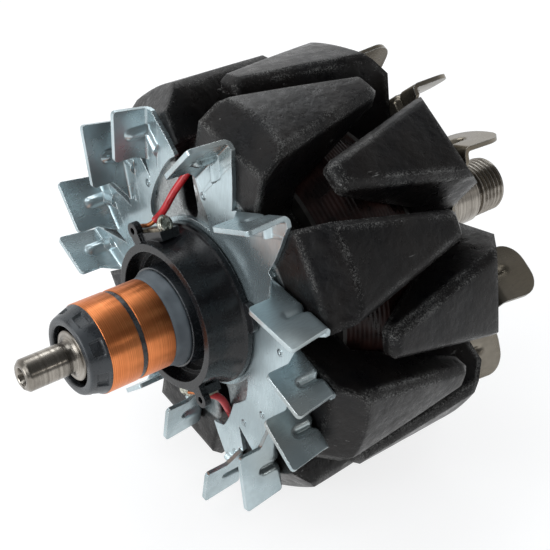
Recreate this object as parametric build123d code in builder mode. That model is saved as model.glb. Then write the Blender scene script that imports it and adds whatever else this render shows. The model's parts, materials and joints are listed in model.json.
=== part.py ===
"""Alternator rotor with two toothed claw poles, a field coil, two fans and a pair of slip rings.

X runs along the shaft towards the pulley end, Z is up, and the origin is on the shaft's axis
where the pulley-end bearing sits against its spacer. All sizes are in millimetres. Angles are
measured about X, from +Y towards +Z.
"""

import math
import os

from build123d import *

os.makedirs("parts", exist_ok=True)

# Shaft
STUB_END_X = -113.5
STUB_R = 4.0
STUB_SHOULDER_X = -100.4
RING_SEAT_R = 6.3
SHAFT_R = 8.8
SEAT_R = 8.5
SHAFT_STEP_X = -64.2
THREAD_START_X = 29.8
THREAD_R = 7.97
SHAFT_END_X = 40.5

# Slip rings and their carrier
RING_R = 11.35
RING_BORE_R = 9.2
RING1_X = (-96.0, -87.7)
RING2_X = (-86.4, -78.6)
COLLAR_END_X = -74.7
COLLAR_FLARE_R = 12.4
CARRIER_FACE_X = -100.9
CARRIER_FACE_R = 9.7
CARRIER_BORE_GAP_R = 7.6
HUB_R = 12.9
HUB_END_X = -66.0

# Black cup that carries the terminals
FLANGE_R = 21.0
CUP_RIM_X = -74.6
CUP_R = FLANGE_R - 2.15
CUP_BORE_R = CUP_R - 1.95
CUP_FLOOR_X = -68.2
FLANGE_X = (-65.2, -63.4)
CUP_BACK_X = -63.0

# Claw poles
POLE_R = 53.7
FINGERS = 8
FINGER_PITCH = 360 / FINGERS
FRONT_PHASE = 59.0
DRIVE_PHASE = FRONT_PHASE + FINGER_PITCH / 2
FRONT_FACE_X = -61.6
DRIVE_FACE_X = -7.5
PLATE = 13.0
FACET = 6.7
FACET_R = POLE_R - 7.1
FINGER_TIP = 40.5
TIP_DEPTH = 4.2
ROOT_HALF_WIDTH = 0.2272 * POLE_R
TIP_HALF_WIDTH = 0.067 * POLE_R
BEVEL = 1.5
POLE_DISC_R = POLE_R - 20.7

# Field coil, which fills the room under the fingers
CORE_R = 26.0
BOBBIN_GAP = 0.2
BOBBIN_WALL = 1.2
WRAP = 0.5
CROWN_DEPTH = 12.1
CROWN_HALF = 4.0
CROWN_GAP = 0.1
WINDING_CROWN_R = POLE_R - CROWN_DEPTH
WINDING_SIDE_R = WINDING_CROWN_R - 5.8
BOBBIN_FLANGE_R = WINDING_SIDE_R + 0.6

# The fingers' underside slopes from the tip to just clear of the coil's crown, and on to the root
TIP_INNER_R = POLE_R - TIP_DEPTH
CROWN_FROM_FACE = (DRIVE_FACE_X - FRONT_FACE_X) / 2 - CROWN_HALF
CROWN_DROP = TIP_INNER_R - (WINDING_CROWN_R + WRAP + CROWN_GAP)
ROOT_DROP = CROWN_DROP * (FINGER_TIP - PLATE) / (FINGER_TIP - CROWN_FROM_FACE)
ROOT_INNER_R = TIP_INNER_R - ROOT_DROP

# Fans, pressed from sheet
SHEET = 1.2
FRONT_FAN_X = -62.8
FRONT_CORNER = 1.0
DRIVE_CORNER = 6.0
FAN_HOLE_R = 14.0
ARM_DIP_R = 33.4
BEND_R = 1.0
# Each blade: angle and radius of its fold's inner end, of its outer end, height and inset
FRONT_BLADES = [
    (87.0, 35.0, 103.0, 49.5, 11.0, 5.4),
    (115.0, 35.0, 130.3, 49.5, 11.0, 5.4),
    (144.0, 33.8, 160.7, 49.5, 11.0, 5.4),
    (171.0, 37.2, 179.7, 49.5, 11.0, 2.6),
    (191.0, 37.0, 198.2, 50.5, 11.0, 2.6),
    (216.8, 35.0, 232.0, 50.8, 11.0, 5.4),
    (247.5, 41.0, 254.5, 51.0, 11.0, 2.6),
    (271.8, 27.5, 274.7, 39.8, 11.0, 2.6),
    (293.0, 31.0, 300.5, 41.0, 11.0, 2.6),
    (318.0, 36.0, 331.0, 49.5, 11.0, 5.4),
    (347.0, 39.5, 357.4, 51.0, 11.0, 2.6),
    (4.8, 39.0, 17.8, 51.0, 11.0, 2.6),
    (27.0, 35.5, 46.0, 51.0, 10.2, 5.8),
    (54.2, 38.5, 64.3, 50.0, 9.4, 1.6),
]
DRIVE_BLADES = [
    (16.0, 36.0, 34.0, 49.5, 12.5, 5.4),
    (62.0, 36.0, 80.0, 49.5, 12.5, 5.4),
    (89.0, 36.0, 106.0, 49.5, 12.5, 5.4),
    (115.0, 36.0, 131.0, 49.5, 12.5, 5.4),
    (159.0, 37.0, 178.0, 49.5, 12.5, 5.4),
    (196.0, 36.0, 214.0, 49.5, 12.5, 5.4),
    (242.0, 36.0, 260.0, 49.5, 12.5, 5.4),
    (269.0, 36.0, 286.0, 49.5, 12.5, 5.4),
    (295.0, 36.0, 311.0, 49.5, 12.5, 5.4),
    (339.0, 37.0, 358.0, 49.5, 12.5, 5.4),
]

# Terminals and coil leads, the first at the top and the second at the bottom
TERMINAL_X = -69.5
STRIP_R = CUP_R + 2.25
STRIP = 0.6
LUG_X = (-72.8, -71.0)
LUG_AT_R = CUP_R + 3.55
SOLDER_R = 1.9
LEAD_R = 0.55
SLEEVE_R = 0.95
LEAD_VALLEY = (77.5, 257.5)
LEAD_FROM_R = STRIP_R + 1.75
LEAD_TO_R = WINDING_SIDE_R + 1.4
GROOVE_FROM_R = FLANGE_R + 0.5
GROOVE_TO_R = LEAD_TO_R + 3.3
GROOVE_MIDDLE_R = (GROOVE_FROM_R + GROOVE_TO_R) / 2
GROOVE_WIDTH = 6.4
GROOVE_DEPTH = 6.0
# Wire points are station, rise above the strip and angle. Lead points are station, share of the
# way out from the terminal to the coil and angle.
TERMINALS = (
    {
        "block": 64.0,
        "lug": 50.0,
        "solder": 78.0,
        "wire": [(-70.6, 1.0, 43.6), (-70.0, 1.85, 48.0), (-69.4, 1.25, 55.0)],
        "lead": [
            (-68.3, 0.0, 61.0),
            (-66.2, 0.115, 65.0),
            (-63.8, 0.331, 69.0),
            (-61.2, 0.61, 75.0),
            (-58.6, 0.861, 79.5),
            (-55.6, 0.979, 81.5),
            (-51.4, 1.0, 81.5),
            (-47.9, 1.042, 81.5),
        ],
    },
    {
        "block": 252.0,
        "lug": 238.0,
        "solder": 266.0,
        "wire": [(-70.8, 1.3, 259.5), (-70.1, 1.1, 255.0), (-69.3, 1.05, 250.0)],
        "lead": [
            (-68.2, 0.0, 244.5),
            (-66.2, 0.101, 245.0),
            (-63.8, 0.331, 249.0),
            (-61.2, 0.61, 255.0),
            (-58.6, 0.861, 259.5),
            (-55.6, 0.979, 261.5),
            (-51.4, 1.0, 261.5),
            (-47.9, 1.042, 261.5),
        ],
    },
)


def polar(radius, angle):
    """A point in the plane across the shaft."""
    return (radius * math.cos(math.radians(angle)), radius * math.sin(math.radians(angle)))


def place(x, radius, angle):
    """The same point at a station along the shaft."""
    return (x, *polar(radius, angle))


def turned(points):
    """A body turned about the shaft's axis from station and radius points."""
    with BuildPart() as body:
        with BuildSketch(Plane.XY):
            with BuildLine():
                Polyline(*points, close=True)
            make_face()
        revolve(axis=Axis.X)
    return body.part


# Shaft: stub journal, relief, flare to the shoulder, ring seat, main body, bearing seat, thread
with BuildPart() as shaft:
    with BuildSketch(Plane.XY):
        with BuildLine():
            Polyline(
                (STUB_END_X, 0),
                (STUB_END_X, STUB_R - 0.9),
                (STUB_END_X + 0.9, STUB_R),
                (STUB_SHOULDER_X - 2.4, STUB_R),
                (STUB_SHOULDER_X - 2.4, STUB_R - 0.2),
                (STUB_SHOULDER_X - 1.6, STUB_R - 0.2),
            )
            ThreePointArc(
                (STUB_SHOULDER_X - 1.6, STUB_R - 0.2),
                (STUB_SHOULDER_X - 0.5, STUB_R + 0.3),
                (STUB_SHOULDER_X, STUB_R + 1.4),
            )
            Polyline(
                (STUB_SHOULDER_X, STUB_R + 1.4),
                (STUB_SHOULDER_X, RING_SEAT_R - 0.3),
                (STUB_SHOULDER_X + 0.3, RING_SEAT_R),
                (SHAFT_STEP_X, RING_SEAT_R),
                (SHAFT_STEP_X, SHAFT_R - 0.4),
                (SHAFT_STEP_X + 0.4, SHAFT_R),
                (-0.8, SHAFT_R),
                (-0.8, SEAT_R - 0.2),
                (0, SEAT_R - 0.2),
                (0, SEAT_R),
                (THREAD_START_X - 0.9, SEAT_R),
                (THREAD_START_X, THREAD_R - 0.9),
                (THREAD_START_X + 1.0, THREAD_R - 0.9),
                (THREAD_START_X + 1.0, THREAD_R),
                (SHAFT_END_X - 1.1, THREAD_R),
                (SHAFT_END_X, THREAD_R - 1.1),
                (SHAFT_END_X, 0),
                (STUB_END_X, 0),
            )
        make_face()
    revolve(axis=Axis.X)
    # Centre holes left by turning
    with Locations(Location((STUB_END_X, 0, 0), (0, 90, 0))):
        Cone(2.3, 0.6, 4.6, mode=Mode.SUBTRACT)
    with Locations(Location((SHAFT_END_X, 0, 0), (0, 90, 0))):
        Cone(0.6, 3.0, 7.0, mode=Mode.SUBTRACT)
    # Small slot across the stub's rim
    with Locations((STUB_END_X, *polar(3.6, 252))):
        Box(1.6, 1.2, 1.6, rotation=(252, 0, 0), mode=Mode.SUBTRACT)
shaft.part.label = "shaft"
export_step(shaft.part, "parts/shaft.step")


def finger(face_x, way):
    """One claw at the top of its pole. The face is at face_x and the tip lies along way."""

    def at(d, h):
        return (face_x + way * d, h)

    reach = FINGER_TIP
    with BuildPart() as claw:
        with BuildSketch(Plane.XZ):
            with BuildLine():
                Polyline(
                    at(0, 24.0),
                    at(0, FACET_R),
                    at(FACET, POLE_R),
                    at(FACET, POLE_R + 2),
                    at(reach, POLE_R + 2),
                    at(reach, TIP_INNER_R),
                    at(PLATE, ROOT_INNER_R),
                    at(PLATE, 24.0),
                    close=True,
                )
            make_face()
        extrude(amount=20, both=True)
        with BuildSketch(Plane.XY):
            with BuildLine():
                Polyline(
                    at(0, ROOT_HALF_WIDTH),
                    at(FACET, ROOT_HALF_WIDTH - 0.9),
                    at(reach - 1.2, TIP_HALF_WIDTH + 0.2),
                    at(reach, TIP_HALF_WIDTH - 1.0),
                    at(reach, 1.0 - TIP_HALF_WIDTH),
                    at(reach - 1.2, -TIP_HALF_WIDTH - 0.2),
                    at(FACET, 0.9 - ROOT_HALF_WIDTH),
                    at(0, -ROOT_HALF_WIDTH),
                    close=True,
                )
            make_face()
        extrude(amount=60, mode=Mode.INTERSECT)
        with BuildSketch(Plane.YZ.offset(face_x - 60)):
            Circle(POLE_R)
        extrude(amount=120, mode=Mode.INTERSECT)
        # Bevels along the long edges of the outer face and round the tip
        outer = claw.faces().filter_by(GeomType.CYLINDER)
        rim = outer.edges().filter_by(lambda e: abs(e.center().X - (face_x + way * FACET)) > 2)
        chamfer(rim, length=BEVEL)
    return claw.part


def pole(face_x, way, phase, boss):
    """A claw pole: disc with eight fingers and a boss that locates the fan."""
    claw = finger(face_x, way)
    with BuildPart() as body:
        with BuildSketch(Plane.YZ.offset(face_x)):
            Circle(POLE_DISC_R)
        extrude(amount=way * PLATE)
        with Locations(*[Rotation(phase - 90 + k * FINGER_PITCH, 0, 0) for k in range(FINGERS)]):
            add(claw)
        with BuildSketch(Plane.YZ.offset(face_x)):
            Circle(FAN_HOLE_R - 0.1)
        extrude(amount=-way * boss)
        with BuildSketch(Plane.YZ.offset(face_x - 30)):
            Circle(SHAFT_R)
        extrude(amount=60, mode=Mode.SUBTRACT)
    return body.part


with BuildPart() as front_pole:
    add(pole(FRONT_FACE_X, 1, FRONT_PHASE, SHEET))
    # Grooves in the face for the two coil leads, running out to the valley beside each finger
    for middle in LEAD_VALLEY:
        with BuildSketch(Plane.YZ.offset(FRONT_FACE_X)):
            with Locations(Location((*polar(GROOVE_MIDDLE_R, middle), 0), (0, 0, middle))):
                SlotOverall(GROOVE_TO_R - GROOVE_FROM_R, GROOVE_WIDTH)
        extrude(amount=GROOVE_DEPTH, mode=Mode.SUBTRACT)
front_pole.part.label = "front_pole"
export_step(front_pole.part, "parts/front_pole.step")

with BuildPart() as drive_pole:
    add(pole(DRIVE_FACE_X, -1, DRIVE_PHASE, SHEET))
drive_pole.part.label = "drive_pole"
export_step(drive_pole.part, "parts/drive_pole.step")

# Steel core between the two discs
CORE_X = (FRONT_FACE_X + PLATE, DRIVE_FACE_X - PLATE)
with BuildPart() as core:
    with BuildSketch(Plane.YZ.offset(CORE_X[0])):
        Circle(CORE_R)
        Circle(SHAFT_R, mode=Mode.SUBTRACT)
    extrude(amount=CORE_X[1] - CORE_X[0])
core.part.label = "core"
export_step(core.part, "parts/core.step")

# Coil bobbin, winding and the varnished wrap around it
BOBBIN_X = (CORE_X[0] + BOBBIN_GAP, CORE_X[1] - BOBBIN_GAP)
WIND_X = (BOBBIN_X[0] + BOBBIN_WALL, BOBBIN_X[1] - BOBBIN_WALL)
WIND_MID = (WIND_X[0] + WIND_X[1]) / 2
bobbin = turned(
    [
        (BOBBIN_X[0], CORE_R + 0.1),
        (BOBBIN_X[0], BOBBIN_FLANGE_R),
        (WIND_X[0], BOBBIN_FLANGE_R),
        (WIND_X[0], CORE_R + 0.1 + BOBBIN_WALL),
        (WIND_X[1], CORE_R + 0.1 + BOBBIN_WALL),
        (WIND_X[1], BOBBIN_FLANGE_R),
        (BOBBIN_X[1], BOBBIN_FLANGE_R),
        (BOBBIN_X[1], CORE_R + 0.1),
    ]
)
bobbin.label = "coil_bobbin"
export_step(bobbin, "parts/coil_bobbin.step")

winding = turned(
    [
        (WIND_X[0], CORE_R + 0.1 + BOBBIN_WALL),
        (WIND_X[0], WINDING_SIDE_R),
        (WIND_MID - CROWN_HALF, WINDING_CROWN_R),
        (WIND_MID + CROWN_HALF, WINDING_CROWN_R),
        (WIND_X[1], WINDING_SIDE_R),
        (WIND_X[1], CORE_R + 0.1 + BOBBIN_WALL),
    ]
)
winding.label = "field_winding"
export_step(winding, "parts/field_winding.step")

wrap = turned(
    [
        (WIND_X[0], WINDING_SIDE_R),
        (WIND_X[0], WINDING_SIDE_R + WRAP),
        (WIND_MID - CROWN_HALF, WINDING_CROWN_R + WRAP),
        (WIND_MID + CROWN_HALF, WINDING_CROWN_R + WRAP),
        (WIND_X[1], WINDING_SIDE_R + WRAP),
        (WIND_X[1], WINDING_SIDE_R),
        (WIND_MID + CROWN_HALF, WINDING_CROWN_R),
        (WIND_MID - CROWN_HALF, WINDING_CROWN_R),
    ]
)
wrap.label = "winding_wrap"
export_step(wrap, "parts/winding_wrap.step")


def blade(plate_x, way, corner, blade_data):
    """A blade folded up from the sheet, with its bend and the bead pressed across the bend.

    plate_x is the sheet's outer face and the blade stands up from it along way.
    """
    a_in, r_in, a_out, r_out, height, inset = blade_data
    start = Vector(plate_x, *polar(r_in, a_in))
    end = Vector(plate_x, *polar(r_out, a_out))
    fold = (end - start).normalized()
    length = (end - start).length
    rise = Vector(way, 0, 0)
    side = fold.cross(rise)
    lean = -1 if side.dot(Vector(0, *polar(1.0, a_in + 90))) < 0 else 1
    over = 1.4
    with BuildPart() as body:
        # The flat of the blade, drawn in the plane of the fold line and the shaft's direction
        with BuildSketch(Plane(start, x_dir=fold, z_dir=side)):
            with BuildLine():
                Polyline(
                    (length + over, height - corner),
                    (length, -SHEET),
                    (0, -SHEET),
                    (inset, 0.42 * height),
                    (inset, height),
                    (length + over - corner, height),
                )
                RadiusArc((length + over - corner, height), (length + over, height - corner), corner)
            make_face()
        extrude(amount=lean * SHEET)
        # Fillet inside the bend
        with BuildSketch(Plane(start + fold * 0.6, x_dir=side * lean, z_dir=fold)):
            with BuildLine():
                Line((SHEET - 0.1, -0.1), (SHEET + BEND_R, -0.1))
                Line((SHEET + BEND_R, -0.1), (SHEET + BEND_R, 0))
                ThreePointArc(
                    (SHEET + BEND_R, 0),
                    (SHEET + BEND_R * 0.293, BEND_R * 0.293),
                    (SHEET, BEND_R),
                )
                Line((SHEET, BEND_R), (SHEET - 0.1, BEND_R))
                Line((SHEET - 0.1, BEND_R), (SHEET - 0.1, -0.1))
            make_face()
        extrude(amount=length - 1.0)
    return body.part, start, fold, side * lean, rise, length


def bead(start, fold, side, rise, length):
    """A stiffening bead pressed across a bend: a rounded web in the corner of sheet and blade."""
    corner = start + fold * (length * 0.55 - 1.3) + side * (SHEET - 0.2) - rise * 0.2
    with BuildPart() as web:
        with BuildSketch(Plane(corner, x_dir=side, z_dir=fold)):
            with BuildLine():
                if side.cross(rise).dot(fold) > 0:
                    Polyline((0, 0), (4.6, 0), (0, 4.6), close=True)
                else:
                    Polyline((0, 0), (4.6, 0), (0, -4.6), close=True)
            make_face()
        extrude(amount=2.6)
        slope = web.faces().sort_by(lambda f: (f.center() - corner).dot(side + rise))[-1]
        fillet(slope.edges().filter_by(lambda e: abs((e % 0.5).dot(fold)) < 0.1), radius=1.1)
    return web.part


def fan_outline(blades, dip):
    """The star-shaped outline: each fold line, the arm's tip and the slanting trailing edge."""
    points = []
    count = len(blades)
    for k, (a_in, r_in, a_out, r_out, _, _) in enumerate(blades):
        following = blades[(k + 1) % count]
        gap = (following[0] - a_out) % 360
        points.append(polar(r_in, a_in))
        points.append(polar(r_out, a_out))
        points.append(polar(r_out - 0.2, a_out + 1.6))
        low = min(dip, following[1] - 0.4)
        if gap > 18:
            points.append(polar(low + 3.0, a_out + gap * 0.55))
        points.append(polar(low, a_out + gap - 2.2))
    return points


def fan(plate_x, way, corner, blades, dip, windows):
    """A pressed fan whose sheet lies against the pole and whose blades stand up along way."""
    outer_x = plate_x
    with BuildPart() as body:
        with BuildSketch(Plane.YZ.offset(outer_x)):
            with BuildLine():
                Polyline(*fan_outline(blades, dip), close=True)
            make_face()
            Circle(FAN_HOLE_R, mode=Mode.SUBTRACT)
            for window in windows:
                with BuildLine():
                    Polyline(*window, close=True)
                make_face(mode=Mode.SUBTRACT)
        extrude(amount=-way * SHEET)
        for data in blades:
            flat, start, fold, side, rise, length = blade(outer_x, way, corner, data)
            add(flat)
            add(bead(start, fold, side, rise, length))
    return body.part


def window(first, last, outline, steps=12):
    """A window's outline: an arc beside the cup's flange, then points by share of depth and angle."""
    arc = [polar(WINDOW_R, first + (last - first) * k / steps) for k in range(steps + 1)]
    return arc + [polar(WINDOW_R + share * WINDOW_DEPTH, angle) for share, angle in outline]


WINDOW_R = FLANGE_R + 1.2
WINDOW_DEPTH = 38.0 - WINDOW_R
TOP_WINDOW = window(
    36,
    101,
    [
        (0.146, 99),
        (0.43, 91.5),
        (0.905, 86),
        (1.0, 78),
        (0.905, 71),
        (0.684, 60),
        (0.399, 42),
        (0.272, 37.5),
    ],
)
BOTTOM_WINDOW = window(
    216,
    281,
    [
        (0.24, 278),
        (0.62, 274.5),
        (0.785, 270),
        (0.848, 263),
        (0.823, 257.5),
        (0.589, 251),
        (0.342, 244.5),
        (0.285, 230),
        (0.114, 221.5),
    ],
)

front_fan = fan(FRONT_FAN_X, -1, FRONT_CORNER, FRONT_BLADES, ARM_DIP_R, [TOP_WINDOW, BOTTOM_WINDOW])
front_fan.label = "front_fan"
export_step(front_fan, "parts/front_fan.step")

drive_fan = fan(DRIVE_FACE_X + SHEET, 1, DRIVE_CORNER, DRIVE_BLADES, ARM_DIP_R, [])
drive_fan.label = "drive_fan"
export_step(drive_fan, "parts/drive_fan.step")

# Spacer between the drive-end fan and the bearing seat
with BuildPart() as spacer:
    with BuildSketch(Plane.YZ.offset(DRIVE_FACE_X + SHEET)):
        Circle(11.8)
        Circle(SHAFT_R, mode=Mode.SUBTRACT)
    extrude(amount=-(DRIVE_FACE_X + SHEET))
    chamfer(spacer.faces().sort_by(Axis.X)[-1].edges().sort_by(SortBy.RADIUS)[-1:], length=0.6)
spacer.part.label = "spacer"
export_step(spacer.part, "parts/spacer.step")

# Bars inside the moulding, from a post against each ring's bore to the hub's back face
BAR_R = 7.7
bars = {}
for name, angle, ring_x in (("ring_bar_1", 239.0, RING1_X), ("ring_bar_2", 59.0, RING2_X)):
    x0 = ring_x[0] + 1.5
    with BuildPart() as bar:
        with Locations(Location(place((x0 + HUB_END_X) / 2, BAR_R, angle), (angle - 90, 0, 0))):
            Box(HUB_END_X - x0, 2.0, 0.8)
        post = (BAR_R + RING_BORE_R) / 2
        with Locations(Location(place(x0 + 1.0, post, angle), (angle - 90, 0, 0))):
            Box(2.0, 2.0, RING_BORE_R - BAR_R)
        # The post's end follows the ring's bore
        with BuildSketch(Plane.YZ.offset(x0 - 1)):
            Circle(RING_BORE_R)
        extrude(amount=HUB_END_X - x0 + 2, mode=Mode.INTERSECT)
    bar.part.label = name
    export_step(bar.part, "parts/" + name + ".step")
    bars[name] = bar.part

# Carrier moulding: front rim with notched band, tube under the rings, hub behind them
NOTCHES = 8
with BuildPart() as carrier:
    add(
        turned(
            [
                (CARRIER_FACE_X + 0.5, CARRIER_BORE_GAP_R),
                (CARRIER_FACE_X, CARRIER_BORE_GAP_R + 0.5),
                (CARRIER_FACE_X, CARRIER_FACE_R - 0.5),
                (CARRIER_FACE_X + 0.5, CARRIER_FACE_R),
                (CARRIER_FACE_X + 1.7, 10.2),
                (RING1_X[0], RING_R - 0.1),
                (RING1_X[0], RING_BORE_R),
                (RING1_X[1], RING_BORE_R),
                (RING1_X[1], RING_R - 0.25),
                (RING2_X[0], RING_R - 0.25),
                (RING2_X[0], RING_BORE_R),
                (COLLAR_END_X, RING_BORE_R),
                (COLLAR_END_X, HUB_R),
                (HUB_END_X, HUB_R),
                (HUB_END_X, RING_SEAT_R),
                (STUB_SHOULDER_X + 2.0, RING_SEAT_R),
                (STUB_SHOULDER_X + 2.0, CARRIER_BORE_GAP_R),
            ]
        )
    )
    # Notches round the bevelled band in front of the first ring
    with Locations(*[Rotation(k * 360 / NOTCHES + 12, 0, 0) for k in range(NOTCHES)]):
        with Locations((CARRIER_FACE_X + 3.2, 0, 11.1)):
            Box(2.6, 4.4, 1.8, mode=Mode.SUBTRACT)
    # The bars are moulded in
    for bar in bars.values():
        add(bar, mode=Mode.SUBTRACT)
carrier.part.label = "ring_carrier"
export_step(carrier.part, "parts/ring_carrier.step")

# The two copper rings, each with a small break on its edges
for name, (x0, x1) in (("slip_ring_1", RING1_X), ("slip_ring_2", RING2_X)):
    ring = turned(
        [
            (x0, RING_BORE_R),
            (x0, RING_R - 0.2),
            (x0 + 0.2, RING_R),
            (x1 - 0.2, RING_R),
            (x1, RING_R - 0.2),
            (x1, RING_BORE_R),
        ]
    )
    ring.label = name
    export_step(ring, "parts/" + name + ".step")

# Flared grey insulating collar behind the rings
collar = turned(
    [
        (RING2_X[1], RING_BORE_R),
        (RING2_X[1], RING_R - 0.05),
        (RING2_X[1] + 1.2, RING_R + 0.15),
        (COLLAR_END_X - 0.5, COLLAR_FLARE_R),
        (COLLAR_END_X, COLLAR_FLARE_R),
        (COLLAR_END_X, RING_BORE_R),
    ]
)
collar.label = "grey_collar"
export_step(collar, "parts/grey_collar.step")

# Cup with its flange, the two terminal lugs and the locating tabs behind the flange
with BuildPart() as cup:
    with BuildSketch(Plane.XY):
        with BuildLine():
            Polyline(
                (CUP_RIM_X, CUP_BORE_R),
                (CUP_RIM_X, CUP_R),
                (CUP_RIM_X + 3.2, CUP_R + 0.1),
            )
            ThreePointArc(
                (CUP_RIM_X + 3.2, CUP_R + 0.1),
                (CUP_RIM_X + 6.6, CUP_R + 0.55),
                (FLANGE_X[0], FLANGE_R - 0.5),
            )
            Polyline(
                (FLANGE_X[0], FLANGE_R - 0.5),
                (FLANGE_X[0] + 0.5, FLANGE_R),
                (FLANGE_X[1], FLANGE_R),
                (FLANGE_X[1], FLANGE_R - 0.8),
                (CUP_BACK_X, FLANGE_R - 1.2),
                (CUP_BACK_X, FAN_HOLE_R + 0.6),
                (HUB_END_X, FAN_HOLE_R + 0.6),
                (HUB_END_X, HUB_R + 0.05),
                (CUP_FLOOR_X, HUB_R + 0.05),
                (CUP_FLOOR_X, CUP_BORE_R - 1.6),
                (CUP_FLOOR_X - 2.4, CUP_BORE_R - 1.6),
                (CUP_FLOOR_X - 2.4, CUP_BORE_R - 0.5),
                (CUP_RIM_X, CUP_BORE_R),
            )
        make_face()
    revolve(axis=Axis.X)
    for data in TERMINALS:
        # Raised block on the skirt that carries the terminal
        block = data["block"]
        with Locations(Location(place(TERMINAL_X, CUP_R + 0.75, block), (block - 90, 0, 0))):
            Box(5.2, 13.0, 2.4)
        # Lug with a hole in front of the block
        lug = data["lug"]
        with Locations(Location(place(sum(LUG_X) / 2, CUP_R + 1.15, lug), (lug - 90, 0, 0))):
            Box(LUG_X[1] - LUG_X[0], 3.4, 3.0)
        with BuildSketch(Plane.YZ.offset(LUG_X[0])):
            with Locations(polar(LUG_AT_R, lug)):
                Circle(2.1)
        extrude(amount=LUG_X[1] - LUG_X[0])
        with BuildSketch(Plane.YZ.offset(LUG_X[0] - 1)):
            with Locations(polar(LUG_AT_R, lug)):
                Circle(0.9)
        extrude(amount=LUG_X[1] - LUG_X[0] + 2, mode=Mode.SUBTRACT)
    # Rounded tabs showing past the flange
    for a in (163.5, 343.5):
        with BuildSketch(Plane.YZ.offset(FLANGE_X[1] - 1.2)):
            with Locations(Location((*polar(FLANGE_R - 0.4, a), 0), (0, 0, a + 90))):
                RectangleRounded(7.6, 5.6, 2.2)
        extrude(amount=1.4)
cup.part.label = "terminal_cup"
export_step(cup.part, "parts/terminal_cup.step")

# Terminals, solder, coil leads and their red sleeves
for number, data in enumerate(TERMINALS, start=1):
    block = data["block"]
    with BuildPart() as terminal:
        with Locations(Location(place(TERMINAL_X, STRIP_R, block), (block - 90, 0, 0))):
            Box(3.0, 12.4, STRIP)
    terminal.part.label = f"terminal_{number}"
    export_step(terminal.part, f"parts/terminal_{number}.step")

    with BuildPart() as solder:
        along = STRIP_R * math.sin(math.radians(data["solder"] - block))
        face = Vector(*place(TERMINAL_X, STRIP_R + STRIP / 2, block))
        out = Vector(0, *polar(1, block))
        across = Vector(0, *polar(1, block + 90))
        with Locations(face + out * 0.5 + across * along):
            Sphere(SOLDER_R)
        split(bisect_by=Plane(face, z_dir=out), keep=Keep.TOP)
    solder.part.label = f"solder_{number}"
    export_step(solder.part, f"parts/solder_{number}.step")

    run = [Vector(*place(x, STRIP_R + rise, angle)) for x, rise, angle in data["wire"]]
    for x, share, angle in data["lead"]:
        run.append(Vector(*place(x, LEAD_FROM_R + share * (LEAD_TO_R - LEAD_FROM_R), angle)))
    with BuildPart() as lead:
        with BuildLine() as path:
            Spline(*run)
        with BuildSketch(Plane(path.wires()[0] @ 0, z_dir=path.wires()[0] % 0)):
            Circle(LEAD_R)
        sweep()
    lead.part.label = f"coil_lead_{number}"
    export_step(lead.part, f"parts/coil_lead_{number}.step")

    with BuildPart() as sleeve:
        with BuildLine() as whole:
            Spline(*run)
        wire = whole.wires()[0]
        first = wire.param_at_point(run[len(data["wire"])])
        with BuildLine(mode=Mode.PRIVATE) as part_path:
            add(whole.edges()[0].trim(first, 0.97))
        with BuildSketch(Plane(part_path.edges()[0] @ 0, z_dir=part_path.edges()[0] % 0)):
            Circle(SLEEVE_R)
        sweep(path=part_path.edges()[0])
        add(lead.part, mode=Mode.SUBTRACT)
    sleeve.part.label = f"lead_sleeve_{number}"
    export_step(sleeve.part, f"parts/lead_sleeve_{number}.step")
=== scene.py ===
"""Looks of the alternator rotor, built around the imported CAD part.

Everything is in metres in the part's own frame: X runs along the shaft towards the pulley end,
Z is up, and angles about the shaft are measured from +Y towards +Z. Sizes named in millimetres
are turned to metres by MM.
"""

import json

import bpy
import numpy as np
from mathutils import Euler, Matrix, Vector


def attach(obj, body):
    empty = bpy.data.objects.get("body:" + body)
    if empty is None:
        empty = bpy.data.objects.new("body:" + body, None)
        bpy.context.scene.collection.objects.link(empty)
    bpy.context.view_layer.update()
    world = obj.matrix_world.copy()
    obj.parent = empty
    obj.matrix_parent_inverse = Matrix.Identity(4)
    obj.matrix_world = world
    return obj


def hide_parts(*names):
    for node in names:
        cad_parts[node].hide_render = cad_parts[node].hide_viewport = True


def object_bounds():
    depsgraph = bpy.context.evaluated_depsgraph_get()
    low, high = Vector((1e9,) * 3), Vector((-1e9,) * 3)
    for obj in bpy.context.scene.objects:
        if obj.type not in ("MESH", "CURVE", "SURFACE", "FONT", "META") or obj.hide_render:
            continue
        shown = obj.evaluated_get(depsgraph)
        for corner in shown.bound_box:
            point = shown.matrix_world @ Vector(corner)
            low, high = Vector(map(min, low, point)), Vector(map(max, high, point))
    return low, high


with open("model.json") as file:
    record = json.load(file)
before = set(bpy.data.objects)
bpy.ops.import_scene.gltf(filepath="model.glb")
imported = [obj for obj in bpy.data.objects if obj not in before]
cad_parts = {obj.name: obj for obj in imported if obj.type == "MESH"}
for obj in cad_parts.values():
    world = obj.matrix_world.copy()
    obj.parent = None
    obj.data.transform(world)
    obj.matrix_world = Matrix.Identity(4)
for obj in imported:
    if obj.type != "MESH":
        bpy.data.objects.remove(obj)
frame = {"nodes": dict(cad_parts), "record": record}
cad_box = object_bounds()

MM = 0.001
scene = bpy.context.scene
nodes = frame["nodes"]


# Node helpers
def new_material(name):
    """An empty node material with its output, returned with its tree."""
    made = bpy.data.materials.new(name)
    made.use_nodes = True
    made.node_tree.nodes.clear()
    return made, made.node_tree


def put(tree, kind, settings=None, **inputs):
    """Adds a node. Inputs are given by socket name, with underscores for spaces."""
    made = tree.nodes.new(kind)
    for key, value in (settings or {}).items():
        setattr(made, key, value)
    for key, value in inputs.items():
        wire(tree, made.inputs[key.replace("_", " ")], value)
    return made


def wire(tree, socket, value):
    """Links a socket to another one, or sets its value."""
    if isinstance(value, bpy.types.NodeSocket):
        tree.links.new(value, socket)
    elif isinstance(value, tuple) and len(value) == 3 and socket.type == "RGBA":
        socket.default_value = (*value, 1.0)
    else:
        socket.default_value = value


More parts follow.
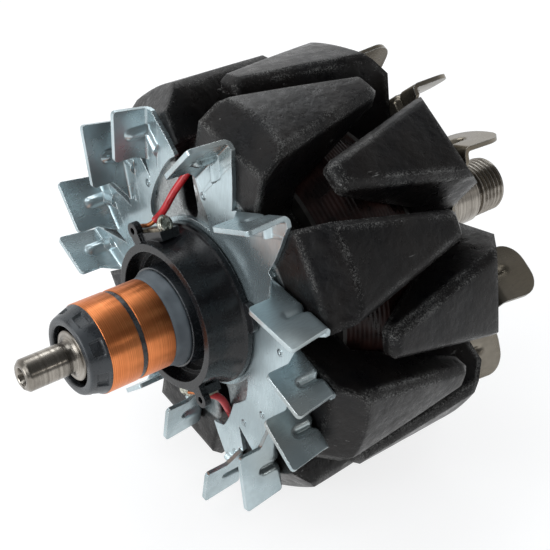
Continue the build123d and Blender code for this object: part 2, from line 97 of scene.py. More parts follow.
def reckon(tree, operation, a, b=0.0, clamp=False):
    """One step of arithmetic on the surface."""
    made = tree.nodes.new("ShaderNodeMath")
    made.operation = operation
    made.use_clamp = clamp
    wire(tree, made.inputs[0], a)
    wire(tree, made.inputs[1], b)
    return made.outputs[0]


def spread(tree, value, low, high, to_low=0.0, to_high=1.0):
    """Spreads a value between two levels, smoothly."""
    made = put(tree, "ShaderNodeMapRange", {"interpolation_type": "SMOOTHSTEP"})
    for socket, number in zip(made.inputs[:5], (value, low, high, to_low, to_high)):
        wire(tree, socket, number)
    return made.outputs[0]


def blend(tree, share, first, second):
    """Mixes two colours by a share."""
    made = tree.nodes.new("ShaderNodeMix")
    made.data_type = "RGBA"
    wire(tree, made.inputs["Factor"], share)
    for socket, colour in ((made.inputs[6], first), (made.inputs[7], second)):
        wire(tree, socket, colour)
    return made.outputs[2]


def place_of(tree):
    """The point on the surface, in metres in the part's frame."""
    return put(tree, "ShaderNodeTexCoord").outputs["Object"]


def grain(tree, at, size, detail=3.0, rough=0.55, seed=0.0):
    """Cloudy noise whose blotches are about `size` millimetres across."""
    made = put(
        tree,
        "ShaderNodeTexNoise",
        {"noise_dimensions": "4D"},
        Vector=at,
        W=seed,
        Scale=1000.0 / size,
        Detail=detail,
        Roughness=rough,
    )
    return made.outputs["Fac"]


def stretched(tree, at, scale):
    """The place with each axis scaled, for marks that run one way."""
    return put(tree, "ShaderNodeMapping", Vector=at, Scale=scale).outputs[0]


def about_shaft(tree, at):
    """Station along the shaft and radius from its axis."""
    split = put(tree, "ShaderNodeSeparateXYZ", Vector=at)
    y, z = split.outputs[1], split.outputs[2]
    squares = reckon(tree, "ADD", reckon(tree, "MULTIPLY", y, y), reckon(tree, "MULTIPLY", z, z))
    return split.outputs[0], reckon(tree, "SQRT", squares)


def raised(tree, height, depth, normal=None):
    """A bump of `depth` millimetres from a height between 0 and 1."""
    made = put(tree, "ShaderNodeBump", Height=height, Distance=depth * MM, Strength=1.0)
    if normal is not None:
        wire(tree, made.inputs["Normal"], normal)
    return made.outputs[0]


def edge_wear(tree, radius):
    """1 on sharp edges and 0 on flat surface, from how far a rounded normal turns away."""
    rounded = put(tree, "ShaderNodeBevel", {"samples": 4}, Radius=radius * MM).outputs[0]
    true = put(tree, "ShaderNodeNewGeometry").outputs["Normal"]
    dot = put(tree, "ShaderNodeVectorMath", {"operation": "DOT_PRODUCT"})
    wire(tree, dot.inputs[0], rounded)
    wire(tree, dot.inputs[1], true)
    return reckon(tree, "SUBTRACT", 1.0, dot.outputs["Value"], clamp=True), rounded


def close(tree, **inputs):
    """The surface shader and the material's output."""
    shader = put(tree, "ShaderNodeBsdfPrincipled", **inputs)
    put(tree, "ShaderNodeOutputMaterial", Surface=shader.outputs[0])


# Finishes
POLE_FACE_X = -61.6
BARE_HUB_R = 36.0
STAKE = (4.7, 28.1)
STAKE_R = 3.2
DIMPLE_R = 1.15
DIMPLE_PLACES = [
    (30.3, 93.6), (30.6, 178.2), (31.9, 222.1), (32.7, 240.1),
    (42.2, 253.2), (32.6, 48.1), (33.7, 31.0),
]
DIMPLES = [
    (r * np.cos(np.radians(turn)), r * np.sin(np.radians(turn))) for r, turn in DIMPLE_PLACES
]
WIRE_PITCH = 0.9
QUARTER_TURN = 0.25


def claw_paint(name):
    """Black paint over cast claws: cast grain, grey chips on the edges, a bare hub face."""
    made, tree = new_material(name)
    at = place_of(tree)
    station, radius = about_shaft(tree, at)
    edge, rounded = edge_wear(tree, 2.4)
    cloud = grain(tree, at, 11.0, seed=1.0)
    patch = grain(tree, at, 9.0, detail=2.0, rough=0.5, seed=15.0)
    pitted = grain(tree, at, 2.6, detail=3.0, rough=0.6, seed=14.0)
    fine = grain(tree, at, 0.55, detail=4.0, rough=0.7, seed=2.0)
    speck = grain(tree, at, 0.34, detail=2.0, rough=0.75, seed=3.0)
    scratch = grain(tree, stretched(tree, at, (0.25, 1.6, 1.6)), 1.4, detail=4.0, seed=12.0)
    chips = reckon(
        tree,
        "MULTIPLY",
        spread(tree, edge, 0.006, 0.045),
        spread(tree, reckon(tree, "ADD", speck, reckon(tree, "MULTIPLY", patch, 0.55)), 0.77, 0.93),
        clamp=True,
    )
    scored = spread(tree, scratch, 0.67, 0.73)
    marks = reckon(tree, "MULTIPLY", scored, spread(tree, cloud, 0.5, 0.62))
    thin = spread(tree, cloud, 0.3, 0.7)
    paint = blend(tree, thin, (0.0042, 0.0042, 0.005), (0.011, 0.0092, 0.0085))
    colour = blend(tree, spread(tree, speck, 0.62, 0.74, 0.0, 0.3), paint, (0.05, 0.047, 0.044))
    colour = blend(tree, reckon(tree, "MAXIMUM", chips, marks), colour, (0.2, 0.195, 0.185))
    hub = reckon(
        tree,
        "MULTIPLY",
        spread(tree, radius, BARE_HUB_R * MM, (BARE_HUB_R - 0.8) * MM),
        spread(tree, station, (POLE_FACE_X + 1.2) * MM, (POLE_FACE_X + 0.4) * MM),
        clamp=True,
    )
    bare = blend(tree, spread(tree, fine, 0.35, 0.65), (0.26, 0.27, 0.27), (0.44, 0.46, 0.46))
    bump = raised(tree, fine, 0.07, raised(tree, pitted, 0.2, raised(tree, cloud, 0.7, rounded)))
    staked = reckon(tree, "MULTIPLY", hub, dimples(tree, at, [STAKE], STAKE_R))
    bump = raised(tree, staked, 0.7, bump)
    close(
        tree,
        Base_Color=blend(tree, hub, colour, bare),
        Metallic=hub,
        Roughness=spread(tree, pitted, 0.3, 0.7, 0.24, 0.42),
        Normal=bump,
        Specular_IOR_Level=0.24,
    )
    return made


def zinc_plate(name, pale, dull, warm, pressed=()):
    """Zinc-plated sheet: wavy, faintly mottled and lined, with a painted highlight along its sharp
    cut edges, and dimples.
    """
    made, tree = new_material(name)
    at = place_of(tree)
    edge, rounded = edge_wear(tree, 0.3)
    broad = grain(tree, at, 30.0, detail=1.0, seed=13.0)
    cloud = grain(tree, at, 15.0, detail=2.0, rough=0.45, seed=4.0)
    spots = grain(tree, at, 1.4, detail=3.0, seed=5.0)
    lines = grain(tree, stretched(tree, at, (1.0, 5.0, 0.7)), 2.0, detail=3.0, seed=6.0)
    base = blend(tree, spread(tree, cloud, 0.36, 0.64), dull, pale)
    base = blend(tree, spread(tree, broad, 0.5, 0.68, 0.0, 0.6), base, warm)
    spotted, lined = (tuple(share * c for c in dull) for share in (0.5, 0.6))
    base = blend(tree, spread(tree, spots, 0.66, 0.76, 0.0, 0.3), base, spotted)
    base = blend(tree, spread(tree, lines, 0.4, 0.62, 0.0, 0.14), base, lined)
    # Painted highlight: the sharp cut edges are lightened to near white, standing in for the glints
    # they catch.
    colour = blend(tree, spread(tree, edge, 0.06, 0.26, 0.0, 0.85), base, (0.82, 0.86, 0.86))
    uneven = reckon(tree, "ADD", cloud, reckon(tree, "MULTIPLY", lines, 0.3))
    rough = spread(tree, uneven, 0.45, 0.85, 0.2, 0.34)
    bump = raised(tree, lines, 0.006, raised(tree, cloud, 0.55, rounded))
    if pressed:
        bump = raised(tree, dimples(tree, at, pressed, DIMPLE_R), 0.5, bump)
    close(tree, Base_Color=colour, Metallic=0.8, Roughness=rough, Normal=bump)
    return made


def dimples(tree, at, places, size):
    """Raised rims and pressed middles at points across and up, on any station."""
    split = put(tree, "ShaderNodeSeparateXYZ", Vector=at)
    flat = put(tree, "ShaderNodeCombineXYZ", Y=split.outputs[1], Z=split.outputs[2]).outputs[0]
    height = 0.0
    for across, up in places:
        apart = put(tree, "ShaderNodeVectorMath", {"operation": "DISTANCE"})
        wire(tree, apart.inputs[0], flat)
        apart.inputs[1].default_value = (0.0, across * MM, up * MM)
        rim = spread(tree, apart.outputs["Value"], size * MM, 0.45 * size * MM)
        middle = spread(tree, apart.outputs["Value"], 0.5 * size * MM, 0.0, 0.0, 0.8)
        height = reckon(tree, "MAXIMUM", height, reckon(tree, "SUBTRACT", rim, middle))
    return height


def turned_metal(name, light, dark, rough, pitch, depth, stain=0.2, brushed=0.0):
    """Metal turned in a lathe: fine rings about the shaft, stained in patches by `stain`.

    `brushed` draws reflections out along the shaft, across the cutter's grooves.
    """
    made, tree = new_material(name)
    at = place_of(tree)
    station, radius = about_shaft(tree, at)
    about = put(tree, "ShaderNodeTangent", {"direction_type": "RADIAL", "axis": "X"})
    rings = put(tree, "ShaderNodeTexNoise", {"noise_dimensions": "1D"}, Scale=1.0, Detail=4.0)
    along = reckon(tree, "ADD", station, radius)
    wire(tree, rings.inputs["W"], reckon(tree, "MULTIPLY", along, 1000.0 / pitch))
    ring = rings.outputs["Fac"]
    cloud = grain(tree, at, 5.0, seed=7.0)
    ringed = reckon(tree, "MULTIPLY", ring, 1 - stain)
    tone = reckon(tree, "ADD", ringed, reckon(tree, "MULTIPLY", cloud, stain))
    close(
        tree,
        Base_Color=blend(tree, spread(tree, tone, 0.35, 0.65), dark, light),
        Metallic=1.0,
        Roughness=spread(tree, tone, 0.35, 0.65, rough[1], rough[0]),
        Normal=raised(tree, ring, depth),
        Anisotropic=brushed,
        Anisotropic_Rotation=QUARTER_TURN,
        Tangent=about.outputs[0],
    )
    return made


def moulding(name, light, dark, rough, edge_colour, level, uneven=0.04):
    """Black or grey moulded plastic: soft mottling, scuffs and paler rubbed edges."""
    made, tree = new_material(name)
    at = place_of(tree)
    edge, rounded = edge_wear(tree, 0.35)
    cloud = grain(tree, at, 6.0, detail=2.0, seed=8.0)
    fine = grain(tree, at, 0.6, detail=3.0, seed=9.0)
    base = blend(tree, spread(tree, cloud, 0.35, 0.65), dark, light)
    worn = reckon(tree, "MULTIPLY", spread(tree, edge, 0.04, 0.3), spread(tree, fine, 0.35, 0.65))
    colour = blend(tree, worn, base, edge_colour)
    dulled = spread(tree, reckon(tree, "ADD", cloud, fine), 0.8, 1.25, *rough)
    bump = raised(tree, fine, 0.3 * uneven, raised(tree, cloud, uneven, rounded))
    close(tree, Base_Color=colour, Roughness=dulled, Normal=bump, Specular_IOR_Level=level)
    return made


def varnished_wrap_in_painted_shade(name):
    """Varnished wrap over the coil: winding ridges and pooled varnish, its red-brown darkened to
    near black as painted shade between the claws.
    """
    made, tree = new_material(name)
    at = place_of(tree)
    station = about_shaft(tree, at)[0]
    turns = reckon(tree, "SINE", reckon(tree, "MULTIPLY", station, 6.2832 / (WIRE_PITCH * MM)))
    cloud = grain(tree, at, 5.0, detail=4.0, seed=10.0)
    pooled = spread(tree, cloud, 0.35, 0.65)
    # Painted shade: both tones are far darker than the wrap's own red-brown, standing in for the
    # shade on the coil deep between the claws.
    colour = blend(tree, pooled, (0.009, 0.005, 0.0045), (0.035, 0.012, 0.009))
    rough = spread(tree, cloud, 0.3, 0.7, 0.22, 0.45)
    bump = raised(tree, spread(tree, turns, -1.0, 1.0), 0.05, raised(tree, cloud, 0.3))
    close(tree, Base_Color=colour, Roughness=rough, Normal=bump, Specular_IOR_Level=0.3)
    return made


def plain_finish(name, light, dark, metallic, rough, size, depth):
    """A plain finish with mottling at one size, for small pieces."""
    made, tree = new_material(name)
    at = place_of(tree)
    cloud = grain(tree, at, size, detail=4.0, seed=11.0)
    colour = blend(tree, spread(tree, cloud, 0.35, 0.65), dark, light)
    dulled = spread(tree, cloud, 0.3, 0.7, *rough)
    bump = raised(tree, cloud, depth)
    close(tree, Base_Color=colour, Metallic=metallic, Roughness=dulled, Normal=bump)
    return made


# Turned metals: light and dark tone, roughness, pitch and depth of the rings, stain, brushing.
# Mouldings: light and dark tone, roughness, colour of rubbed edges, gloss level.
# Plain finishes: light and dark tone, metallic share, roughness, size of the mottling, its depth.
# Zinc: pale, dull and warm tone, dimples. Sizes are in millimetres.
STEEL = (0.38, 0.35, 0.31), (0.21, 0.19, 0.165), (0.22, 0.34), 0.7, 0.003, 0.5, 0.8
COPPER = (0.86, 0.3, 0.11), (0.64, 0.19, 0.062), (0.33, 0.43), 0.25, 0.0015, 0.25, 0.9
FRONT_ZINC = (0.56, 0.66, 0.69), (0.38, 0.46, 0.485), (0.42, 0.41, 0.37), DIMPLES
DRIVE_ZINC = (0.25, 0.225, 0.185), (0.17, 0.15, 0.12), (0.2, 0.165, 0.115)
CARRIER = (0.045, 0.05, 0.055), (0.014, 0.0155, 0.018), (0.2, 0.4), (0.28, 0.29, 0.31), 0.55
COLLAR = (0.13, 0.15, 0.165), (0.075, 0.088, 0.1), (0.45, 0.6), (0.26, 0.28, 0.3), 0.4
CUP = (0.009, 0.0092, 0.0105), (0.0045, 0.0045, 0.0055), (0.17, 0.34), (0.11, 0.115, 0.125), 0.4
FINISHES = {
    "shaft_steel": (turned_metal, *STEEL),
    "claw_black": (claw_paint,),
    "core_steel": (turned_metal, (0.2, 0.19, 0.18), (0.1, 0.095, 0.09), (0.35, 0.5), 0.8, 0.02),
    "bobbin_plastic": (
        plain_finish, (0.05, 0.045, 0.04), (0.02, 0.018, 0.016), 0.0, (0.45, 0.6), 3.0, 0.05,
    ),
    "winding_copper": (
        plain_finish, (0.2, 0.07, 0.035), (0.1, 0.035, 0.02), 0.6, (0.3, 0.5), 1.0, 0.1,
    ),
    "winding_wrap": (varnished_wrap_in_painted_shade,),
    "front_fan_zinc": (zinc_plate, *FRONT_ZINC),
    "drive_fan_zinc": (zinc_plate, *DRIVE_ZINC),
    "spacer_steel": (
        turned_metal, (0.34, 0.335, 0.32), (0.18, 0.175, 0.17), (0.25, 0.4), 0.6, 0.015,
    ),
    "carrier_black": (moulding, *CARRIER),
    "ring_copper": (turned_metal, *COPPER),
    "collar_grey": (moulding, *COLLAR),
    "cup_black": (moulding, *CUP),
    "bar_copper": (
        plain_finish, (0.4, 0.15, 0.06), (0.24, 0.085, 0.035), 1.0, (0.3, 0.45), 2.0, 0.02,
    ),
    "terminal_tin": (
        plain_finish, (0.4, 0.35, 0.27), (0.16, 0.135, 0.1), 1.0, (0.26, 0.48), 1.5, 0.12,
    ),
    "solder": (
        plain_finish, (0.62, 0.62, 0.54), (0.12, 0.12, 0.09), 1.0, (0.16, 0.3), 1.1, 0.3,
    ),
    "lead_copper": (
        plain_finish, (0.46, 0.17, 0.065), (0.26, 0.085, 0.035), 0.9, (0.25, 0.4), 1.0, 0.04,
    ),
    "sleeve_red": (
        plain_finish, (0.58, 0.022, 0.028), (0.4, 0.012, 0.017), 0.0, (0.22, 0.4), 2.5, 0.05,
    ),
}
finishes = {name: make(name, *values) for name, (make, *values) in FINISHES.items()}

slot_of = {p["node"]: p["material_slot"] for p in frame["record"]["subparts"]}
for name, piece in nodes.items():
    piece.data.materials.clear()
    piece.data.materials.append(finishes[slot_of[name]])


# Shapes
def piece_from(name, points, faces, material, stands_for):
    """Puts points in millimetres and faces into a piece that stands for a CAD node."""
    mesh = bpy.data.meshes.new(name)
    mesh.from_pydata((np.asarray(points, float) * MM).tolist(), [], np.asarray(faces).tolist())
    mesh.update()
    mesh.polygons.foreach_set("use_smooth", np.full(len(mesh.polygons), True))
    made = bpy.data.objects.new(name, mesh)
    scene.collection.objects.link(made)
    mesh.materials.append(finishes[material])
    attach(made, "root")
    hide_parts(stands_for)
    return made


def sheet_faces(rows, columns, wrap=False, keep=None):
    """Four-cornered faces over a grid of points, closed round its columns where it wraps."""
    span = columns if wrap else columns - 1
    i, j = np.meshgrid(np.arange(rows - 1), np.arange(span), indexing="ij")
    k = (j + 1) % columns
    low, high = i * columns, (i + 1) * columns
    faces = np.stack([low + j, low + k, high + k, high + j], -1)
    if keep is not None:
        faces = faces[keep]
    return faces.reshape(-1, 4)


def joined(parts):
    """Several (points, faces) pairs as one."""
    points, faces, count = [], [], 0
    for some_points, some_faces in parts:
        points.append(some_points)
        faces.append(some_faces + count)
        count += len(some_points)
    return np.vstack(points), np.vstack(faces)


def around(x, radius, angle):
    """Points from station, radius and angle in degrees about the shaft."""
    x, radius, angle = np.broadcast_arrays(x, radius, np.radians(angle))
    return np.stack([x, radius * np.cos(angle), radius * np.sin(angle)], -1).reshape(-1, 3)


def lathe(profile, columns=96, step=None, relief=None):
    """A turned surface: each profile point (x, r) is swept about the shaft.

    Long straight runs are cut into steps. relief(x, r, angle) gives a change of radius, for
    threads and notches.
    """
    profile = np.asarray(profile, float)
    if step:
        fine = [profile[:1]]
        for a, b in zip(profile[:-1], profile[1:]):
            count = max(1, int(np.ceil(np.hypot(*(b - a)) / step)))
            fine.append(a + (b - a) * np.linspace(0, 1, count + 1)[1:, None])
        profile = np.vstack(fine)
    angle = np.arange(columns) * 360.0 / columns
    x, radius = profile[:, :1], profile[:, 1:]
    if relief is not None:
        radius = np.maximum(radius + relief(x, radius, angle[None, :]), 0.0)
    points = around(x, radius * np.ones((1, columns)), angle[None, :])
    return points, sheet_faces(len(profile), columns, wrap=True)[:, ::-1]


def crisp(made, angle):
    """Keeps edges sharper than an angle crisp, and the rest smooth."""
    made.modifiers.new("crisp", "EDGE_SPLIT").split_angle = np.radians(angle)
    return made


def thicken(made, thickness):
    """Gives a middle surface its thickness, with bands that meet made one and crisp cut edges."""
    made.modifiers.new("weld", "WELD").merge_threshold = WELD_GAP * MM
    wall = made.modifiers.new("thickness", "SOLIDIFY")
    wall.thickness = thickness * MM
    wall.offset = 0.0
    wall.use_even_offset = True
    return crisp(made, SHEET_CRISP)


# Fans
SHEET = 1.2
SHEET_CRISP = 50
WELD_GAP = 0.01
BEND_MIDDLE = 1.35
FAN_HOLE_R = 14.0
WINDOW_INNER_R = 22.2
ARM_DIP_R = 33.4
STRIP_DEPTH = 5.6
BEAD_REACH = 5.0
BEAD_HALF_WIDTH = 1.75
BEAD_RISE = 1.25
FRONT_FAN_X = -62.8
DRIVE_FAN_X = -6.3
FRONT_CORNER = 1.1
DRIVE_CORNER = 6.0
STEP_SHARE = 0.42
OUTER_LEAN = 1.4
ROW_BUNCHING = 1.35
BEAD_LEAN = 4.6
TIP_PAST_FOLD = 2.6
FOOT_BEFORE_FOLD = 2.2
WIDE_GAP = 18

# Each blade: angle and radius of the fold's inner end, of its outer end, height, how far the
# inner edge steps in, and how the bead across the fold leans. The drive fan's blades are all of one
# height and step, and are the same half a turn round.
FRONT_BLADES = [
    (87.0, 35.0, 103.0, 49.5, 11.0, 5.4, 0.9),
    (115.0, 35.0, 130.3, 49.5, 11.0, 5.4, 0.2),
    (144.0, 33.8, 160.7, 49.5, 11.0, 5.4, 0.0),
    (171.0, 37.2, 179.7, 49.5, 11.0, 2.6, 0.0),
    (191.0, 37.0, 198.2, 50.5, 11.0, 2.6, 0.0),
    (216.8, 35.0, 232.0, 50.8, 11.0, 5.4, 0.0),
    (247.5, 41.0, 254.5, 51.0, 11.0, 2.6, 0.0),
    (271.8, 27.5, 274.7, 39.8, 11.0, 2.6, 0.0),
    (293.0, 31.0, 300.5, 41.0, 11.0, 2.6, 0.0),
    (318.0, 36.0, 331.0, 49.5, 11.0, 5.4, 0.0),
    (347.0, 39.5, 357.4, 51.0, 11.0, 2.6, 0.6),
    (4.8, 39.0, 17.8, 51.0, 11.0, 2.6, 0.6),
    (27.0, 35.5, 46.0, 51.0, 10.2, 5.8, 0.8),
    (54.2, 38.5, 64.3, 50.0, 9.4, 1.6, 0.9),
]
DRIVE_HALF = [
    (16.0, 36.0, 34.0, 49.5),
    (62.0, 36.0, 80.0, 49.5),
    (89.0, 36.0, 106.0, 49.5),
    (115.0, 36.0, 131.0, 49.5),
    (159.0, 37.0, 178.0, 49.5),
]
DRIVE_BLADES = [
    (a_in + turn, r_in, a_out + turn, r_out, 12.5, 5.4, 0.0)
    for turn in (0, 180)
    for a_in, r_in, a_out, r_out in DRIVE_HALF
]

# Windows for the coil leads: angle and outer radius round each opening
TOP_WINDOW = [
    (36, 22.2), (37.5, 26.5), (42, 28.5), (60, 33.0), (71, 36.5), (78, 38.0),
    (86, 36.5), (91.5, 29.0), (99, 24.5), (101, 22.2),
]
BOTTOM_WINDOW = [
    (216, 22.2), (221.5, 24.0), (230, 26.7), (244.5, 27.6), (251, 31.5), (257.5, 35.2),
    (263, 35.6), (270, 34.6), (274.5, 32.0), (278, 26.0), (281, 22.2),
]


def flat_point(radius, angle):
    """A point of the fan's plane, across and up."""
    return np.array([radius * np.cos(np.radians(angle)), radius * np.sin(np.radians(angle))])


def fold_of(blade):
    """The fold's start, its direction, the direction into the arm, and its length."""
    a_in, r_in, a_out, r_out = blade[:4]
    start, end = flat_point(r_in, a_in), flat_point(r_out, a_out)
    length = np.hypot(*(end - start))
    along = (end - start) / length
    into = np.array([-along[1], along[0]])
    if into @ flat_point(1.0, a_in + 90) < 0:
        into = -into
    return start, along, into, length


def arm_back(blade, following):
    """The arm's trailing edge: its tip, a point half way down and its foot by the next fold."""
    gap = (following[0] - blade[2]) % 360
    low = min(ARM_DIP_R, following[1] - 0.4)
    points = [flat_point(blade[3] - 0.2, blade[2] + TIP_PAST_FOLD)]
    if gap > WIDE_GAP:
        points.append(flat_point(low + 3.0, blade[2] + gap * 0.55))
    points.append(flat_point(low, blade[2] + gap - FOOT_BEFORE_FOLD))
    return points


def capsule(u, v, a, b):
    """Distance from points (u, v) to the line between a and b, with rounded ends."""
    run = np.subtract(b, a)
    share = np.clip(((u - a[0]) * run[0] + (v - a[1]) * run[1]) / (run @ run), 0, 1)
    return np.hypot(u - a[0] - share * run[0], v - a[1] - share * run[1])


def blade_sheet(plate_x, way, blade, following, corner, columns=46):
    """One blade with its fold and the strip of arm beside it, as the middle surface of the sheet.

    Rows run from the arm, round the fold's arc and up the blade. Columns run along the fold. A
    bead is added along the inward normal: a cosine ridge about a line with rounded ends that
    crosses the fold.
    """
    height, inset, lean = blade[4:]
    start, along, into, length = fold_of(blade)
    half = SHEET / 2
    foot = half + BEND_MIDDLE
    q = np.linspace(0, 1, columns)[None, :]

    # Arm rows, cut short where the trailing edge comes close to the fold
    back = arm_back(blade, following)
    tip, heel = [((p - start) @ along, (p - start) @ into) for p in back[:2]]
    slope = (heel[1] - tip[1]) / (heel[0] - tip[0])
    reach = np.clip(tip[1] + (q * length - tip[0]) * slope, foot + 0.15, STRIP_DEPTH)
    share = np.linspace(1, 0, 12, endpoint=False)[:, None]
    arm_s = foot + (reach - foot) * share
    arm_u = q * length + 0 * arm_s

    # Fold rows
    turn = np.linspace(0, np.pi / 2, 9)[:, None]
    fold_s = foot - BEND_MIDDLE * np.sin(turn) + 0 * q
    fold_w = -half + BEND_MIDDLE - BEND_MIDDLE * np.cos(turn) + 0 * q

    # Blade rows, with the inner edge stepped in and both top corners rounded
    rise = 1 - (1 - np.linspace(0, 1, 24)[1:, None]) ** ROW_BUNCHING
    blade_w = (BEND_MIDDLE - half) + (height - BEND_MIDDLE + half) * rise
    over = np.clip((blade_w - (height - corner)) / corner, 0, 1)
    cut = corner * (1 - np.sqrt(1 - over**2))
    inner = inset * np.clip(blade_w / (STEP_SHARE * height), 0, 1) + cut
    outer = length + OUTER_LEAN * np.clip(blade_w / height, 0, 1) - cut
    blade_u = inner + (outer - inner) * q

    low_in = inset * np.clip(fold_w / (STEP_SHARE * height), 0, 1)
    low_out = length + OUTER_LEAN * np.clip(fold_w / height, 0, 1)
    u = np.vstack([arm_u, low_in + (low_out - low_in) * q, blade_u])
    s = np.vstack([arm_s, fold_s, half + 0 * blade_u])
    w = np.vstack([-half + 0 * arm_s, fold_w, blade_w + 0 * q])
    tilt = np.vstack([0 * arm_s, turn + 0 * q, np.pi / 2 + 0 * blade_u])

    # Way along the sheet, measured from the middle of the fold
    up_blade = blade_w - fold_w[-1:, :1] + BEND_MIDDLE * np.pi / 2 + 0 * q
    way_v = np.vstack([-(arm_s - foot), BEND_MIDDLE * turn + 0 * q, up_blade])
    v = way_v - BEND_MIDDLE * np.pi / 4
    middle = length * 0.56 + inset * 0.15
    ridge = np.minimum(
        capsule(u, v, (middle, 0.0), (middle, BEAD_REACH)),
        capsule(u, v, (middle, 0.0), (middle - BEAD_LEAN * lean, -BEAD_REACH)),
    )
    bead = BEAD_RISE * (0.5 + 0.5 * np.cos(np.pi * np.clip(ridge / BEAD_HALF_WIDTH, 0, 1)))
    s = s + bead * np.sin(tilt)
    w = w + bead * np.cos(tilt)

    across = start[0] + u * along[0] + s * into[0]
    up = start[1] + u * along[1] + s * into[1]
    points = np.stack([plate_x + way * w, across, up], -1).reshape(-1, 3)
    return points, sheet_faces(*u.shape)


def disc_sheet(plate_x, way, blades, windows, columns=900):
    """The fan's flat sheet as the middle surface, on a polar grid from the hole to the outline.

    The outline runs along the strip of each fold, down the arm's trailing edge and on to the
    next fold. Where a window opens, the outer band of the grid starts at the window's edge.
    """
    outline = []
    for k, blade in enumerate(blades):
        following = blades[(k + 1) % len(blades)]
        start, along, into, length = fold_of(blade)
        back = arm_back(blade, following)
        tip, heel = [((p - start) @ along, (p - start) @ into) for p in back[:2]]
        depth = STRIP_DEPTH - 0.4
        cross = tip[0] + (depth - tip[1]) * (heel[0] - tip[0]) / (heel[1] - tip[1])
        cross = np.clip(cross, 0.5, length)
        outline += [start, start + into * depth, start + into * depth + along * cross, *back[1:]]
    outline = np.array(outline)
    angle = np.degrees(np.unwrap(np.arctan2(outline[:, 1], outline[:, 0])))
    order = np.maximum.accumulate(angle)
    radius = np.hypot(*outline.T)
    theta = np.arange(columns) * 360.0 / columns
    base = theta + 360 * np.ceil((order[0] - theta) / 360)
    rim = np.interp(base, np.append(order, order[0] + 360), np.append(radius, radius[0]))
    inner = np.full(columns, WINDOW_INNER_R)
    for window in windows:
        at, reach = np.array(window, float).T
        inner = np.maximum(inner, np.interp(theta, at, reach, left=0, right=0))
    near = np.linspace(0, 1, 4)[:, None]
    far = np.linspace(0, 1, 14)[:, None]
    hub = FAN_HOLE_R + (WINDOW_INNER_R - FAN_HOLE_R) * near + 0 * rim
    open_rim = rim > inner + 0.2
    arm = inner + (np.maximum(rim, inner) - inner) * far
    x = plate_x - way * SHEET / 2
    bands = []
    for band, kept in ((hub, np.ones(columns, bool)), (arm, open_rim)):
        keep = np.broadcast_to(kept & np.roll(kept, -1), (len(band) - 1, columns))
        faces = sheet_faces(len(band), columns, wrap=True, keep=keep)
        bands.append((around(x, band, theta), faces))
    return joined(bands)


def fan_piece(name, plate_x, way, blades, windows, material, corner):
    """A whole pressed fan: the flat sheet and its folded blades, given the sheet's thickness."""
    parts = [disc_sheet(plate_x, way, blades, windows)]
    for k, blade in enumerate(blades):
        following = blades[(k + 1) % len(blades)]
        parts.append(blade_sheet(plate_x - way * 0.01, way, blade, following, corner))
    made = piece_from(name + "_sheet", *joined(parts), material, name)
    return thicken(made, SHEET)


windows = [TOP_WINDOW, BOTTOM_WINDOW]
fan_piece("front_fan", FRONT_FAN_X, -1, FRONT_BLADES, windows, "front_fan_zinc", FRONT_CORNER)
fan_piece("drive_fan", DRIVE_FAN_X, 1, DRIVE_BLADES, [], "drive_fan_zinc", DRIVE_CORNER)


# Shaft
THREAD_PITCH = 1.5
THREAD_DEPTH = 0.9
THREAD_FROM_X, THREAD_TO_X = 30.9, 39.6
CREST_SHARE = 0.12
NOTCH_FROM_X = -112.4
NOTCH_TURN = 252
NOTCH_HALF_TURN = 9
NOTCH_DEPTH = 0.8


def thread_relief(x, radius, angle):
    """Change of radius of the shaft: the thread's helical groove, and a notch in the stub's end.

    The groove falls by a clipped triangle wave of the screw's phase, and fades in at both ends.
    """
    phase = (x / THREAD_PITCH - angle / 360.0) % 1.0
    flank = np.abs(phase * 2 - 1)
    cut = THREAD_DEPTH * np.clip((flank - CREST_SHARE) / 0.76, 0, 1)
    fade = np.clip((x - THREAD_FROM_X) / 0.8, 0, 1) * np.clip((THREAD_TO_X - x) / 0.5, 0, 1)
    outside = (radius > 6.0) & (x > 30)
    aside = np.abs((angle - NOTCH_TURN + 180) % 360 - 180)
    notch = (x < NOTCH_FROM_X) & (aside < NOTCH_HALF_TURN) & (radius > 2.4)
    return -cut * fade * outside - NOTCH_DEPTH * notch


SHAFT_PROFILE = [
    (-108.9, 0.0), (-108.9, 0.6), (-113.3, 2.15), (-113.5, 2.4), (-113.5, 3.0), (-113.35, 3.3),
    (-112.6, 3.95), (-112.4, 4.0), (-102.8, 4.0), (-102.75, 3.8), (-102.0, 3.8), (-101.3, 4.0),
    (-100.8, 4.4), (-100.45, 5.1), (-100.4, 5.4), (-100.4, 5.9), (-100.3, 6.2), (-100.1, 6.3),
    (-64.2, 6.3), (-64.2, 8.4), (-63.8, 8.8), (-0.8, 8.8), (-0.8, 8.3), (0.0, 8.3), (0.1, 8.4),
    (0.25, 8.5), (28.7, 8.5), (28.95, 8.4), (29.8, 7.1), (30.8, 7.1), (30.95, 7.97),
    (39.3, 7.97), (39.5, 7.85), (40.4, 6.95), (40.5, 6.8), (40.5, 3.2), (40.3, 2.95), (33.5, 0.5),
    (33.5, 0.0),
]
points, faces = lathe(SHAFT_PROFILE, columns=128, step=0.17, relief=thread_relief)
piece_from("turned_shaft", points, faces, "shaft_steel", "shaft")


# Slip rings and their moulding
RING_R = 11.35
RING_BORE_R = 9.2
RING_STATIONS = ((-96.0, -87.7), (-86.4, -78.6))
EASE = 0.18
PADS = 8
PAD_TURN = 12.0
PAD_FROM_X, PAD_TO_X = -99.4, -96.5
PAD_DEPTH = 0.75
GAP_HALF_TURN = 11.6


def ring_profile(x0, x1, radius, bore):
    """A closed ring section whose outer corners are eased."""
    return [
        (x0, bore), (x0, radius - EASE),
        (x0 + 0.3 * EASE, radius - 0.3 * EASE), (x0 + EASE, radius),
        (x1 - EASE, radius), (x1 - 0.3 * EASE, radius - 0.3 * EASE),
        (x1, radius - EASE), (x1, bore), (x0, bore),
    ]


